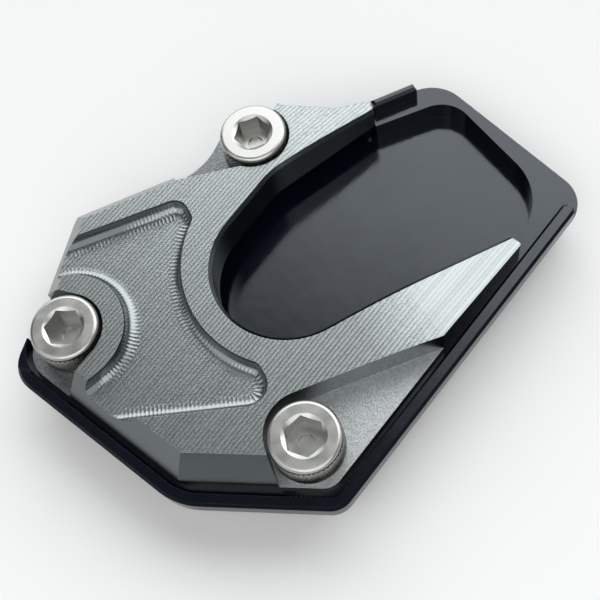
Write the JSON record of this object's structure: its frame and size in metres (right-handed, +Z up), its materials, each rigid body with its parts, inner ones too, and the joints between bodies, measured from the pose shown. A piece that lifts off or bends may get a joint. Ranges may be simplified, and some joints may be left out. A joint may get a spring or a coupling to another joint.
{
  "type": "kickstand foot enlarger",
  "caption": "Two-plate foot enlarger for a motorcycle side stand: a pocketed base plate with a rim, and a U-shaped clamp plate held by socket-head screws.",
  "frame": {"origin": "centre of the footprint's box, on the ground face of the base plate", "axes": "+X along the U, from its rounded end towards the prongs' tips, +Z up from the ground face"},
  "size_m": [0.0832, 0.0614, 0.0142],
  "materials": {
    "black_anodised": "glossy black anodised, fine milled",
    "grey_anodised": "satin titanium-grey anodised, raster milled",
    "stainless": "bright stainless, knurled heads"
  },
  "bodies": {
    "root": {"base_plate": "black_anodised", "clamp_plate": "grey_anodised", "clamp_screws": "stainless"}
  },
  "joints": []
}
